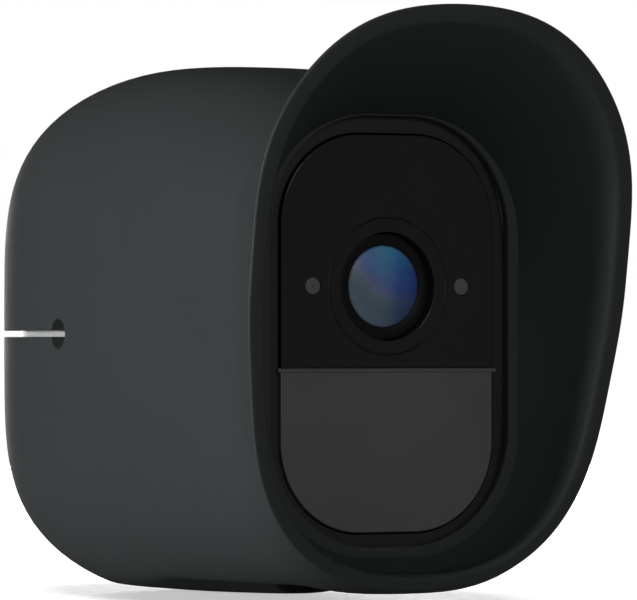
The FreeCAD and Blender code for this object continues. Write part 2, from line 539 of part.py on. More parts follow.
sc = [cut("sc%d" % i, fuse("sc%df" % i, C("sc%da" % i, "Sheet.screw_r", 7.0, sx * px, -6.9, sz * pz), C("sc%db" % i, "Sheet.screw_head", 1.2, sx * px, 0.05, sz * pz)),
          B("sc%dc" % i, 2.6, 0.6, 0.5, sx * px - 1.3, 0.8, sz * pz - 0.25), B("sc%dd" % i, 0.5, 0.6, 2.6, sx * px - 0.25, 0.8, sz * pz - 1.3))
      for i, (sx, sz) in enumerate(((-1, -1), (1, -1), (-1, 1), (1, 1)))]
c = comp("m2_screws", *sc)
done(c, "m2_screws", 0, g("mboard_y") + g("mboard_thick"), g("mid_z"))
c = cut("rf_shield", B("rf_a", 20, 2.2, 18, -10, 0, -9), B("rf_b", 19.4, 2.0, 17.4, -9.7, -0.1, -8.7))
done(c, "rf_shield", 0, g("mboard_y") + g("mboard_thick") + 0.04, 46.0)
c = B("processor", 12, 1.3, 12, -6, 0, -6)
done(c, "processor", -6 + 0.0, g("mboard_y") + g("mboard_thick") + 0.04, 40.0)
c = B("memory_chip", 9, 1.0, 11, 0, 0, 0)
done(c, "memory_chip", -12, g("mboard_y") + g("mboard_thick") + 0.04, 22.0)
c = cut("wifi_antenna", B("wa_a", 26, 1.0, 8, -13, 0, -4), B("wa_b", 20, 3, 1.2, -13.5, -1, 0.6), B("wa_c", 20, 3, 1.2, -6.5, -1, -2.2))
done(c, "wifi_antenna", 0, 23.2, 59.6)
c = fuse("flex_cable", B("fx_a", 8, 0.25, 7, -4, 0, 0), B("fx_b", 8, 9.0, 0.25, -4, 0, 0), B("fx_c", 8, 0.25, 5, -4, 8.75, -4.75))
done(c, "flex_cable", 0, g("sboard_y") + g("sboard_thick") + 0.1, 30.0)
c = cut("usb_port", B("up_a", 7.6, 2.9, 6.0, -3.8, 0, 0), B("up_b", 6.8, 2.1, 5.6, -3.4, 0.4, -0.4))
done(c, "usb_port", 8.0, g("mboard_y") + g("mboard_thick") + 0.04, 8.8)
c = fuse("usb_cover", B("uc_a", 9.2, 4.0, 2.0, -4.6, 0, 0), B("uc_b", 6.4, 1.7, 4.4, -3.2, 1.25, 1.9))
done(c, "usb_cover", 8.0, 31.1, 2.5)
bc = [B("bc_p%d" % i, 1.2, 1.2, 2.6, -6.2 + 3.4 * i, 4.0, 1.6) for i in range(4)]
c = fuse("battery_contacts", B("bc_a", 15.4, 4.2, 6.0, -7.7, 0, 0), *bc)
done(c, "battery_contacts", 0, g("mboard_y") + g("mboard_thick") + 0.04, 15.6)

# ---------------------------------------------------------------- battery
c = fuse("battery_pack", B("bp_a", "Sheet.bat_w", "Sheet.bat_len", "Sheet.bat_tall - 6", "-Sheet.bat_w/2", 0, 3), B("bp_b", "Sheet.bat_w - 6", "Sheet.bat_len", "Sheet.bat_tall", "-Sheet.bat_w/2 + 3", 0, 0),
         *[C("bp_c%d%d" % (a, b), 3, "Sheet.bat_len", a * (g("bat_w") / 2 - 3), 0, 3 if b < 0 else g("bat_tall") - 3) for a in (-1, 1) for b in (-1, 1)])
done(c, "battery_pack", 0, g("bat_y") + 0.1, g("bat_z"))

# ---------------------------------------------------------------- controls
c = fuse("sync_button", C("sb_a", "Sheet.btn_r", 2.9, 0, 0, 2.75, "Z"), C("sb_b", 5.2, 1.0, 0, 0, 2.75, "Z"), C("sb_c", 1.4, 2.8, 0, 0, 0, "Z"))
done(c, "sync_button", 0, g("btn_y"), 66.15)
c = fuse("button_board", B("bb_a", 12, 9, 1.0, -6, -4.6, 0), B("bb_b", 2.2, 1.6, 0.9, -5.6, -4.4, 0.95))
done(c, "button_board", 0, g("btn_y"), 60.4)
c = cut("tact_switch", B("ts_a", 6, 6, 2.75, -3, -3, 0), C("ts_b", 1.58, 5, 0, 0, 0.9, "Z"))
done(c, "tact_switch", 0, g("btn_y"), 61.42)
c = C("tact_plunger", 1.5, 2.8, 0, 0, 0, "Z")
done(c, "tact_plunger", 0, g("btn_y"), 63.32)
c = fuse("battery_latch", B("bl_a", "Sheet.latch_w", "Sheet.latch_len", 2.2, "-Sheet.latch_w/2", "-Sheet.latch_len/2", 0), B("bl_b", 13, 8.4, 1.0, -6.5, -4.2, 1.9),
         B("bl_c", 6, 4.6, 0.8, -3, 3.0, 2.7), B("bl_d", 6, 1.0, 1.2, -3, 6.6, 1.95))
done(c, "battery_latch", 0, g("latch_y"), 2.75)
c = fuse("latch_bracket", B("lk_a", 20, 8, 1.4, -10, -4, 4.8), B("lk_b", 1.6, 8, 4.9, -10, -4, 0), B("lk_c", 1.6, 8, 4.9, 8.4, -4, 0), C("lk_d", 1.1, 1.2, 0, 0, 3.7, "Z"))
done(c, "latch_bracket", 0, g("latch_y"), 4.4)
legs, leaf_t, leaf_w, leg_x, pin_hole = 5, 0.16, 3.4, 1.6, 1.2
step = (3.42 - leaf_t) / (legs - 1)
turn_r = step / 2
sp = None
for i in range(legs):
    piece = Part.makeBox(2 * leg_x, leaf_w, leaf_t, V(-leg_x, -leaf_w / 2, i * step - leaf_t / 2))
    if i < legs - 1:
        side = 1 if i % 2 == 0 else -1
        tube = Part.makeCylinder(turn_r + leaf_t / 2, leaf_w, V(side * leg_x, -leaf_w / 2, (i + 0.5) * step), V(0, 1, 0))
        tube = tube.cut(Part.makeCylinder(turn_r - leaf_t / 2, leaf_w, V(side * leg_x, -leaf_w / 2, (i + 0.5) * step), V(0, 1, 0)))
        half = Part.makeBox(2, leaf_w, 4, V(side * leg_x if side > 0 else side * leg_x - 2, -leaf_w / 2, (i + 0.5) * step - 2))
        piece = piece.fuse(tube.common(half))
    sp = piece if sp is None else sp.fuse(piece)
sp = sp.removeSplitter().cut(Part.makeCylinder(pin_hole, 6, V(0, 0, -1)))
o = doc.addObject("Part::Feature", "latch_spring")
o.Shape = sp
done(o, "latch_spring", 0, g("latch_y"), 5.78)
c = cut("tripod_insert", C("ti_a", "Sheet.insert_r", "Sheet.insert_len", 0, 0, 0, "Z"), C("ti_b", "Sheet.insert_bore", 20, 0, 0, -5, "Z"))
done(c, "tripod_insert", 0, g("tripod_y"), 3.65)

doc.recompute()
bad = []
for o in doc.Objects:
    if "Invalid" in o.State or "Error" in o.State:
        bad.append(o.Name + " state")
for o in nodes:
    if o.Shape.isNull() or not o.Shape.isValid() or not o.Shape.Solids:
        bad.append(o.Label + " shape")
if bad:
    raise RuntimeError("bad objects: " + ", ".join(bad))
os.makedirs("parts", exist_ok=True)
lo, hi = V(1e9, 1e9, 1e9), V(-1e9, -1e9, -1e9)
for o in nodes:
    b = o.Shape.BoundBox
    lo = V(min(lo.x, b.XMin), min(lo.y, b.YMin), min(lo.z, b.ZMin))
    hi = V(max(hi.x, b.XMax), max(hi.y, b.YMax), max(hi.z, b.ZMax))
    o.Shape.exportStep("parts/%s.step" % o.Label)
    print("%-18s vol %9.1f  X %6.2f %6.2f  Y %6.2f %6.2f  Z %6.2f %6.2f  solids %d" % (o.Label, o.Shape.Volume, b.XMin, b.XMax, b.YMin, b.YMax, b.ZMin, b.ZMax, len(o.Shape.Solids)))
print("nodes", len(nodes), "box", lo, hi, "centre y", (lo.y + hi.y) / 2)
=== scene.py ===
import json
import math
import bpy
import bmesh
import numpy as np
from mathutils import Vector, Matrix

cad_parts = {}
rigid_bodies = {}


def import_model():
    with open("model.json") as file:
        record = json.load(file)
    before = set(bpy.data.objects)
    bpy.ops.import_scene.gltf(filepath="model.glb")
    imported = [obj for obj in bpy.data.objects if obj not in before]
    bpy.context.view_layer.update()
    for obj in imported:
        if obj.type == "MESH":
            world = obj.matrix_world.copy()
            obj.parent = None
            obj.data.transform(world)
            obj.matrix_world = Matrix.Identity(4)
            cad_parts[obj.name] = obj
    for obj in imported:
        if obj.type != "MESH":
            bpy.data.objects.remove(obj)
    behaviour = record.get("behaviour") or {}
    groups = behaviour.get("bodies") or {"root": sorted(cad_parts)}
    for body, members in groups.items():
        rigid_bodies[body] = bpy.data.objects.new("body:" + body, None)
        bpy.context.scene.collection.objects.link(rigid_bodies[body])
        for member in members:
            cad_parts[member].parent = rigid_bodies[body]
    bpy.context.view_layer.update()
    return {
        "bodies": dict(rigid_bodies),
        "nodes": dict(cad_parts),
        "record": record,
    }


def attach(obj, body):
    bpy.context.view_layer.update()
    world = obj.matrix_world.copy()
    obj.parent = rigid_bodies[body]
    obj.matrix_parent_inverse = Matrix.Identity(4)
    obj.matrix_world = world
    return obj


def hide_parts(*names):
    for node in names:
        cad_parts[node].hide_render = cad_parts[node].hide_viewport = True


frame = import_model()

NODES = frame["nodes"]
BODIES = frame["bodies"]

# ------------------------------------------------------------------ numbers shared with the part's source, in mm
YM = 29.572
HALF_W, HALF_T, MID_Z = 26.50, 37.94, 36.634
N_FRONT, N_REAR = 3.2, 5.61
WIDE_Y, REAR_Y = 41.87, 81.51
POW_W, POW_T = 2.825, 2.198
TAPER_T, TAPER_LOW, TAPER_W = 0.0030, 0.00121, 0.0002
THICK = 2.25
RIM_Y0, RIM_SLOPE, RIM_MID_Z, RIM_WALL = -12.83, -0.1513, 41.75, 2.4
ROOT_Y, LIP_FRONT, LIP_BACK = -2.0, -0.85, 0.4
KEY_Y, KEY_R, SLIT_H = 46.2, 2.1, 0.45
FOOT_Y, FOOT_R, REAR_R = 14.0, 8.0, 17.0
LENS_Z, WIN_Z = 43.1, 36.63
RIM_C = [35.66942, -0.13181, 5.29193, -0.61317, -0.86661, 0.14678, -0.36047, 0.11689, -0.03568, -0.06604, -0.0477, 0.0095]


def smooth01(t):
    t = np.clip(t, 0.0, 1.0)
    return t * t * (3 - 2 * t)


def softmin(a, b, k):
    m = np.minimum(a, b)
    return m - k * np.log(np.exp(-(a - m) / k) + np.exp(-(b - m) / k))


def dims(y, d):
    A, Bt, yb = HALF_W - d, HALF_T - d, REAR_Y - d
    if y <= WIDE_Y:
        q = (WIDE_Y - y) ** 2
        return A - TAPER_W * q, Bt - TAPER_T * q, Bt - TAPER_LOW * q, N_FRONT
    t = min((y - WIDE_Y) / (yb - WIDE_Y), 0.99995)
    n = N_FRONT + (N_REAR - N_FRONT) * t * t
    bb = Bt * (1 - t ** POW_T) ** (1 / POW_T)
    return A * (1 - t ** POW_W) ** (1 / POW_W), bb, bb, n


def section_r(y, phi, low, d, edge=0.0):
    """Distance from the middle axis at height angle phi (0 at the side, pi/2 at top or bottom)."""
    a, bu, bl, n = dims(y, d)
    if edge and y < 8.0:
        q = 1 - math.sqrt(max(0.0, 1 - ((8.0 - y) / (8.0 - edge)) ** 2))
        a -= 5.2 * q
        bu -= 0.7 * q
        bl -= 0.7 * q
    b = bl if low else bu
    c, s = np.abs(np.cos(phi)), np.abs(np.sin(phi))
    r = ((c / a) ** n + (s / b) ** n) ** (-1.0 / n)
    if low:
        floor = MID_Z - d
        r = softmin(r, floor / np.maximum(s, 1e-3), 0.25)
    return r


def smooth_scalar(t):
    t = np.clip(t, 0.0, 1.0)
    return t * t * (3 - 2 * t)


def belly(x, y, inside):
    """How far the underside stands above its flat strip."""
    q = np.maximum(0.0, 42.0 - np.maximum(y, 0.0)) ** 2
    h = 0.00075 * q + 6.5e-7 * q * q + (0.0060 + 3.2e-5 * q) * x * x - 0.12
    h = softmin(h, np.full_like(h, 2.4), 0.25)
    if inside:
        return (h + 0.3) * smooth_scalar((32.0 - y) / 9.0) - 0.3
    return h * smooth_scalar((y + 7.5) / 8.5)


def lift(P, d, low):
    """Raises the underside of a set of points to the belly's height."""
    if not low:
        return P
    P = P.copy()
    h = d + belly(P[..., 0], P[..., 1], d > 0)
    z = P[..., 2]
    m = np.maximum(z, h)
    k = 0.06
    z2 = m + k * np.log(np.exp((z - m) / k) + np.exp((h - m) / k))
    P[..., 2] = np.where(z - h > 12 * k, z, z2)
    return P


# ------------------------------------------------------------------ columns of the sleeve's grid
edge_a = np.array([0, .05, .12, .2, .32, .5, .8, 1.2, 1.8, 2.6])
side = edge_a / 26.0
far = math.pi / 2 - np.array([0, .05, .12, .2, .35, .6, 1.0, 1.5, 2.1, 3.0]) / 36.6
COLS = np.concatenate([side, np.linspace(side[-1], far[-1], 38)[1:-1], far[::-1]])
NC = len(COLS)


def slit_half(y):
    if y <= KEY_Y - KEY_R or y > 90:
        return 0.0
    if y < KEY_Y + math.sqrt(KEY_R ** 2 - SLIT_H ** 2):
        return math.sqrt(max(0.0, KEY_R ** 2 - (y - KEY_Y) ** 2))
    return SLIT_H


def foot_half(y):
    return math.sqrt(max(0.0, FOOT_R ** 2 - (y - FOOT_Y) ** 2))


def column_angles(y, low, d):
    """Column angles for one row, with the side slit and the foot hole worked into the end columns."""
    phi = COLS.copy()
    h = slit_half(y)
    pe = 0.0
    if h > 0:
        for _ in range(6):
            r = section_r(y, np.array([pe]), low, d)[0]
            pe = math.asin(min(h / r, 0.9))
    qe = 0.0
    if low:
        h = foot_half(y)
        if h > 0:
            for _ in range(6):
                r = section_r(y, np.array([math.pi / 2 - qe]), low, d)[0]
                qe = math.asin(min(h / r, 0.9))
    return phi + pe * (1 - smooth01(COLS / 0.35)) - qe * (1 - smooth01((math.pi / 2 - COLS) / 0.9))


def at(r, phi, y, low):
    s = -1.0 if low else 1.0
    return np.stack([r * np.cos(phi), np.full_like(r, y) if np.isscalar(y) else y, MID_Z + s * r * np.sin(phi)], -1)


# rows along the body: even steps, closer near the holes' ends
def hole_rows(c, r, n, out):
    v = [c - r * math.cos(math.pi * i / n) for i in range(n + 1)]
    v += [c - r - o for o in out]
    return v


OUT = [0.04, 0.1, 0.18, 0.3, 0.5, 0.9]
rows_y = list(np.arange(-2.0, 62.001, 64 / 58.0))
rows_y = [y for y in rows_y if not (5.0 < y < 23.0) and not (43.0 < y < 50.4)]
rows_y += hole_rows(FOOT_Y, FOOT_R, 26, OUT) + [FOOT_Y + FOOT_R + o for o in OUT]
kk = KEY_Y + math.sqrt(KEY_R ** 2 - SLIT_H ** 2)
alpha = math.pi - math.asin(SLIT_H / KEY_R)
rows_y += [KEY_Y - KEY_R * math.cos(alpha * i / 16) for i in range(17)]
rows_y += [KEY_Y - KEY_R - o for o in OUT] + [kk + o for o in (0.05, 0.15, 0.3, 0.55, 0.9, 1.4, 2.0)]
rows_y = sorted(set(round(y, 5) for y in rows_y))
BODY_Y = [y for y in rows_y if y >= ROOT_Y + 1e-6]

REAR_N = 34
REAR_T = np.concatenate([np.linspace(0, 1, REAR_N)[:-3], [0.955, 0.975, 0.988, 0.995, 1.0]])


def rear_meridian(low, d, y_cap):
    """Rows from y = 62 round the back to where the rear opening cuts the surface, even in arc length."""
    fine = np.concatenate([np.linspace(62, 74, 40), np.linspace(74, REAR_Y - d - 1e-3, 260)[1:]])
    pts = []
    for y in fine:
        phi = column_angles(y, low, d)
        r = section_r(y, phi, low, d)
        pts.append(np.stack([r, np.full_like(r, y), phi], -1))
    pts = np.array(pts)
    out = np.zeros((len(REAR_T), NC, 3))
    for j in range(NC):
        r, y, phi = pts[:, j, 0], pts[:, j, 1].copy(), pts[:, j, 2]
        k = int(np.argmax(r < REAR_R))
        f = (r[k - 1] - REAR_R) / (r[k - 1] - r[k])
        rr = np.append(r[:k], REAR_R)
        yy = np.append(y[:k], y[k - 1] + f * (y[k] - y[k - 1]))
        pp = np.append(phi[:k], phi[k - 1] + f * (phi[k] - phi[k - 1]))
        yy = softmin(yy, np.full_like(yy, y_cap), 0.12)
        s = np.concatenate([[0], np.cumsum(np.hypot(np.diff(rr), np.diff(yy)))])
        s /= s[-1]
        R = np.interp(REAR_T, s, rr)
        Y = np.interp(REAR_T, s, yy)
        P = np.interp(REAR_T, s, pp)
        sg = -1.0 if low else 1.0
        out[:, j, 0] = R * np.cos(P)
        out[:, j, 1] = Y
        out[:, j, 2] = MID_Z + sg * R * np.sin(P)
    return out


def fillet_drop(D, r):
    D = np.clip(D, 0.0, r)
    return r - np.sqrt(np.maximum(r * r - (r - D) ** 2, 0.0))


def grid_normals(G):
    du = np.gradient(G, axis=0)
    dv = np.gradient(G, axis=1)
    n = np.cross(du, dv)
    n /= np.maximum(np.linalg.norm(n, axis=-1, keepdims=True), 1e-9)
    return n


def rim_r(psi):
    return sum(c * np.cos(k * psi) for k, c in enumerate(RIM_C))


def rr_ray(w, t, r, psi):
    hw, ht = w / 2.0 - r, t / 2.0 - r
    s, c = np.sin(psi), np.cos(psi)
    lo, hi = np.zeros_like(psi), np.full_like(psi, 100.0)
    for _ in range(50):
        m = (lo + hi) / 2
        qx, qz = np.abs(m * s) - hw, np.abs(m * c) - ht
        dd = np.hypot(np.maximum(qx, 0), np.maximum(qz, 0)) + np.minimum(np.maximum(qx, qz), 0) - r
        hi = np.where(dd > 0, m, hi)
        lo = np.where(dd > 0, lo, m)
    return lo


def unit(v):
    return v / np.maximum(np.linalg.norm(v, axis=-1, keepdims=True), 1e-12)


def quarter(low):
    """One quarter of the sleeve: closed loops of stations from the hood's root round the outside, the inside, the lip and the hood."""
    psi = math.pi / 2 + COLS if low else math.pi / 2 - COLS
    # body outside
    body = []
    for y in BODY_Y:
        phi = column_angles(y, low, 0.0)
        body.append(at(section_r(y, phi, low, 0.0), phi, y, low))
    body = np.array(body)
    rear = rear_meridian(low, 0.0, 78.8)
    outer = lift(np.concatenate([body, rear[1:]]), 0.0, low)
    nrm = grid_normals(outer)
    c0 = outer - np.array([0.0, 0.0, MID_Z])
    c0[..., 1] -= 40.0
    flip = np.sum(nrm * c0, axis=-1).mean() < 0
    if flip:
        nrm = -nrm
    x, y, z = outer[..., 0], outer[..., 1], outer[..., 2] - MID_Z
    D = np.hypot(y - KEY_Y, z) - KEY_R
    D = np.where(y > KEY_Y, np.minimum(D, np.abs(z) - SLIT_H), D)
    drop = fillet_drop(np.maximum(D, 0), 0.22)
    drop = np.where(x > 10, drop, np.where(np.abs(z) < 3, drop, 0))
    if low:
        D2 = np.hypot(x, y - FOOT_Y) - FOOT_R
        drop = np.maximum(drop, np.where(outer[..., 2] < 12, fillet_drop(np.maximum(D2, 0), 0.35), 0))
    D3 = np.hypot(x, z) - REAR_R
    drop = np.maximum(drop, np.where(y > 70, fillet_drop(np.maximum(D3, 0), 0.55), 0))
    dropped = outer - nrm * drop[..., None]
    n_body = len(body)

    # hood, outside
    a0, bu0, bl0, n0 = dims(ROOT_Y, 0.0)
    phi0 = COLS
    S = at(section_r(ROOT_Y, phi0, low, 0.0), phi0, ROOT_Y, low)

    def rim_at(p):
        r = rim_r(p)
        xx, zz = r * np.sin(p), RIM_MID_Z + r * np.cos(p)
        return np.stack([xx, RIM_Y0 + RIM_SLOPE * (zz - 35.75), zz], -1)

    R = rim_at(psi)
    e = 1e-4
    tg = rim_at(psi + e) - rim_at(psi - e)
    nx, nz = -tg[:, 2], tg[:, 0]
    sgn = np.sign(nx * R[:, 0] + nz * (R[:, 2] - RIM_MID_Z))
    L = np.hypot(nx, nz)
    nx, nz = nx * sgn / L, nz * sgn / L
    n2 = np.stack([nx, np.zeros_like(nx), nz], -1)
    n3 = unit(np.stack([nx, RIM_SLOPE * nz, nz], -1))
    f3 = unit(np.array([0.0, -1.0, RIM_SLOPE]))
    Lb = RIM_SLOPE
    La = (S[:, 1] - R[:, 1])[:, None]
    L2 = R - S
    L2[:, 1] = 0
    q = smooth01((np.cos(psi) - 0.1) / 0.75)[:, None]
    ey = np.array([0.0, 1.0, 0.0])
    Ts = L2 * (0.1 + 0.75 * q) - ey * (1.2 - 0.1 * q) * La
    Tr = L2 * (1.7 - 0.6 * q) - ey * 0.9 * La
    r1 = 0.3
    f3 = unit(np.array([0.0, -1.0, -RIM_SLOPE])) * 1.0
    f3 = unit(np.cross(n3[0], unit(tg[0])))
    if f3[1] > 0:
        f3 = -f3
    gam = np.arctan2(np.sum(Tr * n3, -1), Tr @ f3)[:, None]
    cen = R - r1 * n3 - r1 * f3
    E = cen + r1 * (np.cos(gam) * n3 - np.sin(gam) * f3)
    flare = []
    for s in (0.04, .1, .17, .25, .33, .42, .51, .6, .69, .77, .84, .9, .945, .98, 1.0):
        h00, h10, h01, h11 = 2 * s ** 3 - 3 * s ** 2 + 1, s ** 3 - 2 * s ** 2 + s, -2 * s ** 3 + 3 * s ** 2, s ** 3 - s ** 2
        flare.append(S * h00 + Ts * h10 + E * h01 + Tr * h11)
    flare = lift(np.array(flare), 0.0, low)
    S = lift(S, 0.0, low)
    arc_o = []
    for t in np.linspace(0, 1, 8)[1:]:
        w = -gam + (math.pi / 2 + gam) * t
        arc_o.append(cen + r1 * (np.cos(w) * n3 + np.sin(w) * f3))
    arc_o = np.array(arc_o)

    # hood, inside
    r2 = 0.75
    K = R - RIM_WALL * n3
    p0 = rr_ray(41.2, 60.57, 16.9, psi)
    L0 = np.stack([p0 * np.sin(psi), np.full_like(psi, LIP_FRONT), 36.32 + p0 * np.cos(psi)], -1)
    mid = (L0 + K) * 0.5
    d = np.stack([mid[:, 0], np.zeros_like(psi), mid[:, 2] - 38.0], -1)
    d = unit(d)
    qq = np.clip((mid[:, 2] - 45.0) / 22.0, 0, 1)[:, None]
    C = mid + 2 * d * (0.7 - 1.5 * qq)
    t_in = unit(K - C)
    beta = np.arctan2(np.sum(t_in * n3, -1), t_in @ f3)[:, None]
    cin = K + n3 * r2 * (1 - np.sin(beta)) / np.cos(beta) - f3 * r2
    arc_i = []
    for t in np.linspace(0, 1, 8):
        w = math.pi / 2 + (math.pi / 2 - beta) * t
        arc_i.append(cin + r2 * (np.cos(w) * n3 + np.sin(w) * f3))
    arc_i = np.array(arc_i)
    A = arc_i[-1]
    fun = []
    for s in np.linspace(0, 1, 17)[1:]:
        s2 = s
        fun.append(A * (1 - s2) ** 2 + C * 2 * s2 * (1 - s2) + L0 * s2 * s2)
    fun = np.array(fun)
    p1 = rr_ray(38.0, 58.9, 15.9, psi)
    L1 = np.stack([p1 * np.sin(psi), np.full_like(psi, LIP_FRONT), 36.97 + p1 * np.cos(psi)], -1)
    band = np.linalg.norm(L0 - L1, axis=-1)
    out2 = unit((L0 - L1) + 1e-9 * n2)
    rl = np.minimum(0.35, 0.8 * band)[:, None]
    lip = []
    for t in np.linspace(0, math.pi / 2, 7):
        lip.append(L1 + out2 * rl * (1 - math.sin(t)) + ey * rl * (1 - math.cos(t)))
    for yy in (-0.1, LIP_BACK):
        P = L1.copy()
        P[:, 1] = yy
        lip.append(P)
    lip = np.array(lip)

    # inside of the body, listed front to back
    inner = []
    inner_front = [0.5, 1.0, 1.8, 3.2, 4.6]
    for yy in inner_front:
        inner.append(at(section_r(yy, COLS, low, THICK, LIP_BACK), COLS, yy, low))
    in_y = [yy for yy in BODY_Y if yy > 4.8]
    for yy in in_y:
        phi = column_angles(yy, low, THICK)
        inner.append(at(section_r(yy, phi, low, THICK, LIP_BACK), phi, yy, low))
    rin = rear_meridian(low, THICK, 77.2)
    inner = lift(np.concatenate([np.array(inner), rin[1:]]), THICK, low)
    n_front_in = len(inner_front)
    # the outside's row index for each inside row from in_y on
    first = BODY_Y.index(in_y[0])
    return dict(flare=flare, S=S, outer=dropped, arc_o=arc_o, arc_i=arc_i, fun=fun, lip=lip, inner=inner,
                n_front_in=n_front_in, first=first, n_body=n_body, low=low, yrows=np.array(BODY_Y))


def build_skin():
    verts, faces = [], []

    def add(P):
        i = len(verts)
        verts.extend(P.reshape(-1, 3).tolist())
        return np.arange(i, i + len(P.reshape(-1, 3))).reshape(P.shape[:-1])

    def skin_faces(I, rev):
        a, b, c, d = I[:-1, :-1], I[1:, :-1], I[1:, 1:], I[:-1, 1:]
        f = np.stack([a, b, c, d], -1).reshape(-1, 4)
        if rev:
            f = f[:, ::-1]
        faces.extend(f.tolist())

    for low in (False, True):
        Q = quarter(low)
        for sx in (1.0, -1.0):
            m = np.array([sx, 1.0, 1.0])
            # one long strip: rim inside ... : outside chain from the rim to the rear opening
            outer_chain = np.concatenate([Q["arc_o"][::-1], Q["flare"][::-1], Q["S"][None], Q["outer"]])
            inner_chain = np.concatenate([Q["arc_i"], Q["fun"], Q["lip"], Q["inner"]])
            io = add(outer_chain * m)
            ii = add(inner_chain * m)
            rev = (sx < 0) != low
            skin_faces(io, rev)
            skin_faces(ii, not rev)
            # rim face, rear opening wall
            skin_faces(np.stack([ii[0], io[0]]), rev)
            skin_faces(np.stack([io[-1], ii[-1]]), rev)
            # walls at the slit and at the foot hole
            o0 = len(Q["arc_o"]) + len(Q["flare"]) + 1
            i0 = len(Q["arc_i"]) + len(Q["fun"]) + len(Q["lip"]) + Q["n_front_in"]
            nb, first = Q["n_body"], Q["first"]
            nrear = len(Q["outer"]) - nb
            pairs = [(o0 + k, i0 + k - first) for k in range(first, nb + nrear)]
            for (oa, ia), (ob, ib) in zip(pairs[:-1], pairs[1:]):
                k = oa - o0
                ya = Q["yrows"][k] if k < nb else 70.0
                yb = Q["yrows"][k + 1] if k + 1 < nb else 70.0
                if max(slit_half(ya), slit_half(yb)) > 0 and yb > KEY_Y - KEY_R:
                    f = [io[oa, 0], io[ob, 0], ii[ib, 0], ii[ia, 0]]
                    faces.append(f[::-1] if not rev else f)
                if low and max(foot_half(ya), foot_half(yb)) > 0 and ya < 40:
                    f = [io[oa, -1], io[ob, -1], ii[ib, -1], ii[ia, -1]]
                    faces.append(f if not rev else f[::-1])
    V = np.array(verts)
    V[:, 1] -= YM
    me = bpy.data.meshes.new("silicone_sleeve")
    me.from_pydata((V / 1000.0).tolist(), [], faces)
    ob = bpy.data.objects.new("silicone_sleeve", me)
    bpy.context.scene.collection.objects.link(ob)
    bm = bmesh.new()
    bm.from_mesh(me)
    bmesh.ops.remove_doubles(bm, verts=bm.verts, dist=2e-6)
    bmesh.ops.dissolve_degenerate(bm, edges=bm.edges, dist=1e-6)
    bmesh.ops.recalc_face_normals(bm, faces=bm.faces)
    for f in bm.faces:
        f.smooth = True
    for ed in bm.edges:
        if len(ed.link_faces) == 2 and ed.calc_face_angle(0.0) > math.radians(35):
            ed.smooth = False
    me2 = me
    bm.to_mesh(me2)
    nb = sum(1 for ed in bm.edges if len(ed.link_faces) != 2)
    vol = bm.calc_volume()
    bm.free()
    print("SKIN verts", len(me.vertices), "faces", len(me.polygons), "open edges", nb, "volume cm3", vol * 1e6)
    return ob


# ------------------------------------------------------------------ mesh helpers
def mesh_object(name, bm, sharp=30.0, flat=False):
    bmesh.ops.remove_doubles(bm, verts=bm.verts, dist=1e-6)
    bmesh.ops.recalc_face_normals(bm, faces=bm.faces)
    for f in bm.faces:
        f.smooth = True
    for ed in bm.edges:
        if len(ed.link_faces) == 2 and ed.calc_face_angle(0.0) > math.radians(sharp):
            ed.smooth = False
        if flat and len(ed.link_faces) == 2:
            k = [abs(f.normal.y) > 0.99999 for f in ed.link_faces]
            if k[0] != k[1]:
                ed.smooth = False
    me = bpy.data.meshes.new(name)
    bad = sum(1 for ed in bm.edges if len(ed.link_faces) != 2)
    print("MESH", name, len(bm.verts), len(bm.faces), "open", bad)
    bm.to_mesh(me)
    bm.free()
    ob = bpy.data.objects.new(name, me)
    bpy.context.scene.collection.objects.link(ob)
    return ob


def lathe(name, prof, x, z, seg=128, sharp=40.0):
    """Closed profile of (radius, depth) turned about the lens direction through (x, z); depth counts backwards from the window's face."""
    bm = bmesh.new()
    rings = []
    for r, y in prof:
        if r < 1e-6:
            rings.append([bm.verts.new((x / 1000, (y - YM) / 1000, z / 1000))])
        else:
            rings.append([bm.verts.new(((x + r * math.sin(2 * math.pi * i / seg)) / 1000, (y - YM) / 1000,
                                        (z + r * math.cos(2 * math.pi * i / seg)) / 1000)) for i in range(seg)])
    n = len(rings)
    for k in range(n):
        A, B = rings[k], rings[(k + 1) % n]
        if len(A) == 1 and len(B) == 1:
            continue
        for i in range(seg):
            j = (i + 1) % seg
            if len(A) == 1:
                bm.faces.new((A[0], B[j], B[i]))
            elif len(B) == 1:
                bm.faces.new((A[i], A[j], B[0]))
            else:
                bm.faces.new((A[i], A[j], B[j], B[i]))
    return mesh_object(name, bm, sharp)


def arc(cx, cy, r, a0, a1, n):
    return [(cx + r * math.cos(a0 + (a1 - a0) * i / n), cy + r * math.sin(a0 + (a1 - a0) * i / n)) for i in range(n + 1)]


def rr_outline(w, t, r, zc, n=20, inset=0.0):
    """Rounded rectangle, anticlockwise seen from the front, starting at the lower right."""
    hw, ht, rr = w / 2 - inset, t / 2 - inset, r - inset
    pts = []
    for cx, cz, a in ((hw - rr, -ht + rr, -90), (hw - rr, ht - rr, 0), (-hw + rr, ht - rr, 90), (-hw + rr, -ht + rr, 180)):
        for i in range(n + 1):
            t0 = math.radians(a + 90 * i / n)
            pts.append((cx + rr * math.cos(t0), zc + cz + rr * math.sin(t0)))
    return pts


def clip_z(pts, z0, z1):
    """Keeps the part of a convex outline between two heights."""
    def half(p, zc, keep):
        out = []
        for i in range(len(p)):
            a, b = p[i], p[(i + 1) % len(p)]
            ka, kb = keep(a[1], zc), keep(b[1], zc)
            if ka:
                out.append(a)
            if ka != kb:
                f = (zc - a[1]) / (b[1] - a[1])
                out.append((a[0] + f * (b[0] - a[0]), zc))
        return out
    p = half(pts, z0, lambda z, c: z >= c)
    p = half(p, z1, lambda z, c: z <= c)
    clean = []
    for q in p:
        if not clean or math.hypot(q[0] - clean[-1][0], q[1] - clean[-1][1]) > 1e-4:
            clean.append(q)
    return clean


